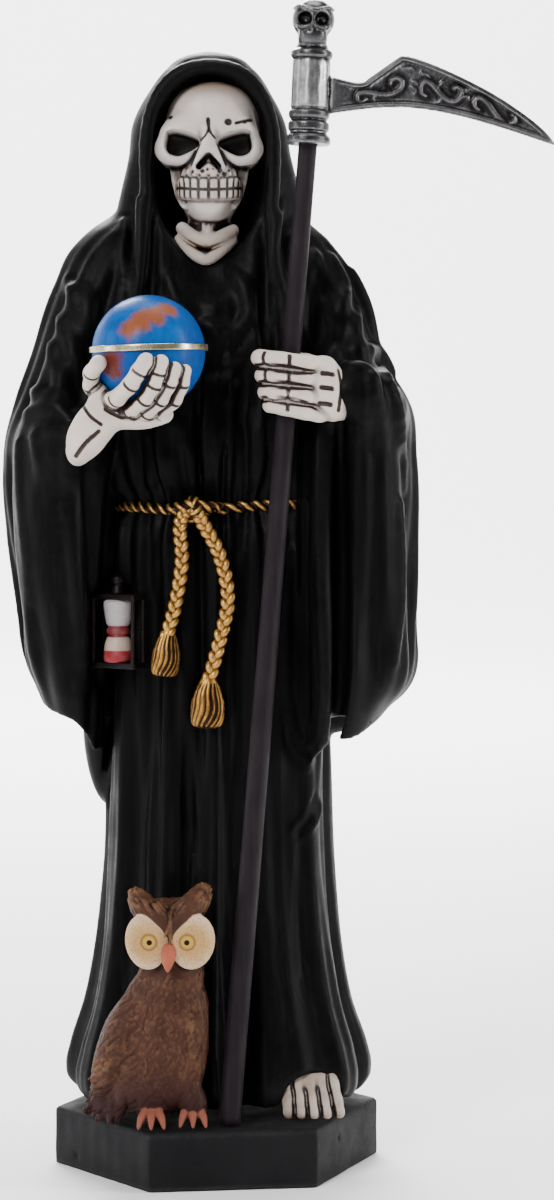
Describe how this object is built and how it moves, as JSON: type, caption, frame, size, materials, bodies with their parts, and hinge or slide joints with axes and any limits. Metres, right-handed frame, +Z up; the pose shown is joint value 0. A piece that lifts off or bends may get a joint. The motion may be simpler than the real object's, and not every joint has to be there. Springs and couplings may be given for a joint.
{
  "type": "santa muerte figure",
  "caption": "Robed, hooded skeleton figurine with a scythe, a globe held up on one hand, a rope belt with an hourglass beside it and an owl at the feet, on a low six-sided plinth.",
  "frame": {"origin": "middle of the plinth's underside", "axes": "+Z up along the figure's height, -Y towards the plinth's flat front face, +X to the right of someone who faces it; the figure itself is turned about 7.5 degrees on the plinth"},
  "size_m": [0.136, 0.0865, 0.2977],
  "materials": {
    "plinth_resin": "matte charcoal paint with worn edges",
    "painted_resin": "satin black paint on the robe, off-white bone with a dark wash, gilded belt",
    "owl_resin": "dry-brushed brown paint",
    "globe_resin": "glossy blue paint with orange-brown patches",
    "ring_metal": "pale gilt, worn",
    "hourglass_resin": "painted dark frame, white and red bulbs",
    "staff_paint": "matte dark paint",
    "antique_silver": "antiqued silver with a dark wash in the relief"
  },
  "bodies": {
    "root": {"plinth": "plinth_resin", "figure": "painted_resin", "owl": "owl_resin", "globe": "globe_resin", "globe_band": "ring_metal", "hourglass": "hourglass_resin", "scythe_staff": "staff_paint", "scythe_head": "antique_silver"}
  },
  "joints": []
}
